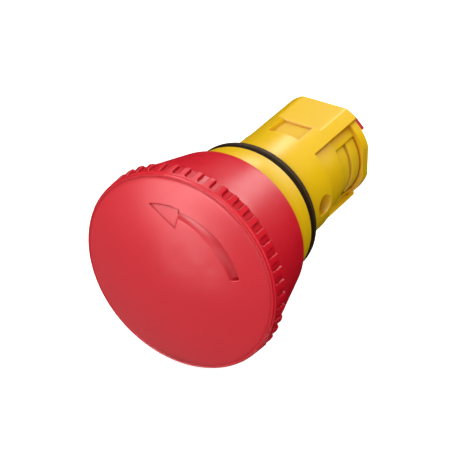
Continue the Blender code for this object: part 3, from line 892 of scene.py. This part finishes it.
def cross_recess(rear):
    """A cutter for the screw's cross, reaching half a millimetre into its head."""
    corner, along, across = (CROSS_ARM, CROSS_ARM), (CROSS_ARM, CROSS_REACH), (-CROSS_ARM, CROSS_REACH)
    outline = []
    for quarter in range(4):
        for x, z in (corner, along, across):
            for _ in range(quarter):
                x, z = -z, x
            outline.append((x, rear - 0.5, z))
    return linked("cross_recess", mesh_from(prism(outline, (0.0, 1.5, 0.0)), "cross_recess"))


def plate_screw(material):
    """A pan-head screw with a cross recess, and thread turns on its shank."""
    front, head_front, rear = SCREW_LOW[1], 28.6, SCREW_HIGH[1] - SKIN
    corners = [(0.0, front, 0.0), (0.7, front, 0.1), (1.0, 23.0, 0.0)]
    for i in range(THREAD_TURNS):
        y = 23.1 + THREAD_PITCH * i
        corners += [
            (SHANK_RADIUS, y, 0.0), (THREAD_RADIUS, y + 0.15, 0.03), (THREAD_RADIUS, y + 0.22, 0.03),
            (SHANK_RADIUS, y + 0.37, 0.0),
        ]
    corners += [
        (1.15, head_front - 0.05, 0.0), (1.2, head_front, 0.0), (2.2, head_front, 0.12),
        (2.2, 29.1, 0.35), (1.5, rear, 0.5), (0.0, rear, 0.0),
    ]
    screw = turned("plate_screw_fine", corners, material, 64)
    cut_out(screw, cross_recess(rear))
    place(screw, "plate_screw", "plunger")


# ---------------------------------------------------------------- springs

def as_mesh(obj):
    """The object's final shape as a mesh object of the same name."""
    graph = bpy.context.evaluated_depsgraph_get()
    mesh = bpy.data.meshes.new_from_object(obj.evaluated_get(graph))
    name = obj.name
    bpy.data.objects.remove(obj, do_unlink=True)
    mesh.shade_smooth()
    return linked(name, mesh)


def wire(name, points, radius, material):
    """A round wire along a smooth path, as a mesh object."""
    curve = bpy.data.curves.new(name, "CURVE")
    curve.dimensions = "3D"
    curve.bevel_depth = radius * MM
    curve.bevel_resolution = 4
    curve.use_fill_caps = True
    spline = curve.splines.new("POLY")
    spline.points.add(len(points) - 1)
    for node, point in zip(spline.points, points):
        node.co = (*(Vector(point) * MM), 1.0)
    spline.use_smooth = True
    curve.materials.append(material)
    return as_mesh(linked(name, curve))


def coil(radius, y_range, turns, per_turn, start=0.0):
    """Points of a coil along Y whose end turns close up."""
    count = round(turns * per_turn)
    points = []
    for i in range(count + 1):
        share = i / count
        eased = share - math.sin(math.tau * share) / math.tau * 0.55
        points.append(at(radius, start + 360.0 * turns * share, mixed(*y_range, eased)))
    return points


def return_spring(material):
    path = coil(7.9, (SPRING_LOW[1] + 0.45, SPRING_HIGH[1] - 0.45), 6.0, 40)
    spring = wire("return_spring_coil", path, RETURN_WIRE, material)
    place(spring, "return_spring", "housing")
    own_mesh(spring)


def torsion_spring(material):
    """A short coil whose first end hooks inwards and whose last end reaches back."""
    turns = coil(TORSION_RADIUS, (-15.1, -13.6), 2.25, 48, 60.0)
    path = [at(9.25, 58.0, -15.1), *turns, at(TORSION_RADIUS, 874.0, -12.75)]
    torsion = wire("torsion_spring_coil", path, TORSION_WIRE, material)
    place(torsion, "torsion_spring", "plunger")


def latch_wire(material):
    """A wire ring with three straight sides, open at one side."""
    middle = (LATCH_LOW[1] + LATCH_HIGH[1]) / 2
    path = []
    for i in range(121):
        degrees = 37.0 + 346.0 * i / 120
        off_flat = math.radians((degrees - 30.0) % 120.0 - 60.0)
        radius = soft_min(np.array(LATCH_FLAT / math.cos(off_flat)), np.array(LATCH_CORNER), 0.2)
        path.append(at(float(radius), degrees, middle))
    latch = wire("latch_wire_spring", path, LATCH_WIRE, material)
    place(latch, "latch_wire", "housing")


def trip_springs(material):
    """The two small coils behind the trip pins, along X."""
    for name, side in (("trip_spring_left", -1.0), ("trip_spring_right", 1.0)):
        path = []
        for i in range(73):
            turn = i * math.tau / 21
            across, up = TRIP_COIL_RADIUS * math.cos(turn), TRIP_COIL_RADIUS * math.sin(turn)
            path.append((side * (TRIP_COIL_START + i / 72), TRIP_Y + across, up))
        small = wire(f"{name}_coil", path, TRIP_WIRE, material)
        place(small, name, "plunger")


# ---------------------------------------------------------------- studio

CAMERA_AZIMUTH = 0.544
CAMERA_ELEVATION = 0.554
CAMERA_DISTANCE = 0.4745
CAMERA_RIGHT = -0.004778
CAMERA_UP = -0.004121
CAMERA_LENS = 200.5
FLOOR_HEIGHT = -0.0206
FLOOR_REACH = 3.0
SOFTBOX_DISTANCE = 0.35
# Each light has a name, a direction, watts and the length of its side
SHADING_LIGHTS = (
    ("over", (0.0, 0.05, 1.0), 0.5, 0.2),
    ("back_right", (0.6, 0.3, 0.65), 0.37, 0.2),
    ("front_top", (-0.2, -0.6, 0.8), 0.4, 0.2),
    ("back", (0.1, 0.95, 0.2), 1.0, 0.2),
    ("right_front", (0.6, -0.75, 0.1), 0.46, 0.2),
    ("below", (0.2, 0.3, -0.9), 1.6, 0.2),
    ("left", (-0.9, -0.3, 0.3), 0.3, 0.2),
)
SHINE_LIGHTS = (
    ("back_top_shine", (-0.19, 0.75, 0.64), 0.21, 0.09),
    ("back_shine", (-0.01, 0.96, 0.25), 0.11, 0.1),
    ("front_left_shine", (-0.44, -0.89, 0.06), 0.38, 0.14),
    ("front_low_shine", (-0.28, -0.9, -0.24), 0.46, 0.14),
    ("front_shine", (-0.15, -0.95, 0.3), 0.4, 0.14),
    ("front_top_shine", (0.3, -0.3, 0.9), 0.35, 0.14),
    ("left_top_shine", (-0.4, 0.3, 0.85), 0.58, 0.14),
    ("right_shine", (0.52, -0.7, 0.48), 0.2, 0.2),
)
# Each glow of the backdrop has the rays that see it, the direction it comes from and its strength
WALLS = (
    ("Is Diffuse Ray", (0.0, -1.0, 0.0), 0.8),
    ("Is Glossy Ray", (-0.3, -0.7, -0.65), 0.55),
)


def softbox(name, direction, watts, side, shine):
    """A square soft light, turned to the object, that makes either shading or shine."""
    light = bpy.data.lights.new(name, "AREA")
    light.shape = "SQUARE"
    light.size = side
    light.energy = watts
    obj = linked(name, light)
    middle = Vector((0.0, -0.005, 0.0))
    obj.location = middle + Vector(direction).normalized() * SOFTBOX_DISTANCE
    obj.rotation_euler = (middle - obj.location).to_track_quat("-Z", "Y").to_euler()
    obj.visible_diffuse = not shine
    obj.visible_glossy = shine


def camera():
    """The camera at the photo's angle."""
    level = math.cos(CAMERA_ELEVATION)
    back = Vector((
        math.sin(CAMERA_AZIMUTH) * level, -math.cos(CAMERA_AZIMUTH) * level, math.sin(CAMERA_ELEVATION),
    ))
    right = Vector((math.cos(CAMERA_AZIMUTH), math.sin(CAMERA_AZIMUTH), 0.0))
    up = back.cross(right)
    data = bpy.data.cameras.new("camera")
    data.lens = CAMERA_LENS
    data.sensor_width = 36.0
    data.clip_start = 0.01
    obj = linked("camera", data)
    obj.matrix_world = Matrix((right, up, back)).transposed().to_4x4()
    obj.location = back * CAMERA_DISTANCE + right * CAMERA_RIGHT + up * CAMERA_UP
    bpy.context.scene.camera = obj


def floor():
    """A plain white table just under the head, which neither lights nor mirrors in the object."""
    n = Nodes("white_floor")
    n.set(Base_Color=(0.9, 0.9, 0.9, 1.0), Roughness=0.6, Emission_Color=(1, 1, 1, 1), Emission_Strength=0.8)
    mesh = bpy.data.meshes.new("floor")
    corners = ((-1, -1), (1, -1), (1, 1), (-1, 1))
    points = [(x * FLOOR_REACH, y * FLOOR_REACH, FLOOR_HEIGHT) for x, y in corners]
    mesh.from_pydata(points, [], [(0, 1, 2, 3)])
    mesh.materials.append(n.material)
    obj = linked("floor", mesh)
    obj.visible_diffuse = False
    obj.visible_glossy = False


def world():
    """A white backdrop to look at, with soft light from the front, and a low front wall to mirror."""
    scene_world = bpy.data.worlds.new("studio")
    scene_world.use_nodes = True
    tree = scene_world.node_tree
    background = tree.nodes["Background"]
    direction = tree.nodes.new("ShaderNodeTexCoord").outputs["Generated"]
    rays = tree.nodes.new("ShaderNodeLightPath").outputs
    total = rays["Is Camera Ray"]
    for lit_rays, toward, strength in WALLS:
        facing = tree.nodes.new("ShaderNodeVectorMath")
        facing.operation = "DOT_PRODUCT"
        tree.links.new(direction, facing.inputs[0])
        facing.inputs[1].default_value = Vector(toward).normalized()
        level = tree.nodes.new("ShaderNodeMapRange")
        tree.links.new(facing.outputs["Value"], level.inputs["Value"])
        tree.links.new(rays[lit_rays], level.inputs["To Max"])
        added = tree.nodes.new("ShaderNodeMath")
        added.operation = "MULTIPLY_ADD"
        tree.links.new(level.outputs["Result"], added.inputs[0])
        added.inputs[1].default_value = strength
        tree.links.new(total, added.inputs[2])
        total = added.outputs["Value"]
    tree.links.new(total, background.inputs["Strength"])
    background.inputs["Color"].default_value = (1.0, 1.0, 1.0, 1.0)
    bpy.context.scene.world = scene_world


def studio():
    camera()
    floor()
    world()
    for row in SHADING_LIGHTS:
        softbox(*row, shine=False)
    for row in SHINE_LIGHTS:
        softbox(*row, shine=True)
    bpy.context.scene.view_settings.view_transform = "Standard"


def finish_cad_nodes(plastic_red, natural, black, seal, steel):
    """Gives the CAD nodes that stay in view their materials."""
    finishes = {"stem": natural, "spring_cup": black, "plunger": plastic_red, "lip_seal": seal}
    turned_nodes = (
        "seal_retainer", "spring_seat", "thrust_washer", "stem_clip", "cap_clip", "trip_pin_left",
        "trip_pin_right",
    )
    finishes.update((node, steel) for node in turned_nodes)
    for node, material in finishes.items():
        for slot in frame["nodes"][node].material_slots:
            slot.material = material


def main():
    # The third colour of each moulded plastic is painted shade for its recesses and creases
    red = moulded_plastic(
        "red_moulding", (0.62, 0.008, 0.020), (0.54, 0.005, 0.016), (0.26, 0.001, 0.004), 0.33,
        hollow_shade=0.75, scatter=0.06, scatter_tint=(1.0, 0.15, 0.1),
    )
    plate_red = moulded_plastic(
        "plate_moulding", (0.50, 0.007, 0.018), (0.42, 0.005, 0.014), (0.2, 0.004, 0.006), 0.45)
    yellow = moulded_plastic(
        "yellow_moulding", (0.80, 0.49, 0.005), (0.74, 0.43, 0.003), (0.46, 0.13, 0.0), 0.34,
        hollow_shade=0.9, scatter=0.08, scatter_tint=(1.0, 0.6, 0.1),
    )
    guide_yellow = moulded_plastic(
        "guide_moulding", (0.86, 0.54, 0.012), (0.80, 0.48, 0.01), (0.36, 0.12, 0.0), 0.45, hollow_shade=0.8)
    natural = moulded_plastic(
        "stem_moulding", (0.60, 0.60, 0.57), (0.52, 0.52, 0.49), (0.25, 0.25, 0.23), 0.45)
    black = moulded_plastic(
        "cup_moulding", (0.03, 0.03, 0.033), (0.02, 0.02, 0.022), (0.008, 0.008, 0.008), 0.42)
    # The gasket's paler line 1.15 mm in front of the panel plane is a painted highlight
    rubber = soft_rubber("gasket_rubber_bloom", (0.012, 0.005, 0.001), (0.020, 0.010, 0.004), -1.15)
    seal = soft_rubber("seal_rubber_bloom", (0.018, 0.018, 0.018), (0.035, 0.035, 0.035))
    spring_steel = drawn_steel("spring_wire_steel", (0.66, 0.66, 0.68), (0.42, 0.41, 0.40), 0.28)
    bright_steel = drawn_steel("plated_steel", (0.74, 0.74, 0.76), (0.52, 0.51, 0.50), 0.24)

    mushroom_cap(red)
    housing(yellow)
    panel_gasket(rubber)
    rear_guide(guide_yellow)
    actuator_plate(plate_red)
    plate_screw(bright_steel)
    return_spring(spring_steel)
    torsion_spring(spring_steel)
    latch_wire(spring_steel)
    trip_springs(spring_steel)
    finish_cad_nodes(plate_red, natural, black, seal, bright_steel)
    studio()


main()
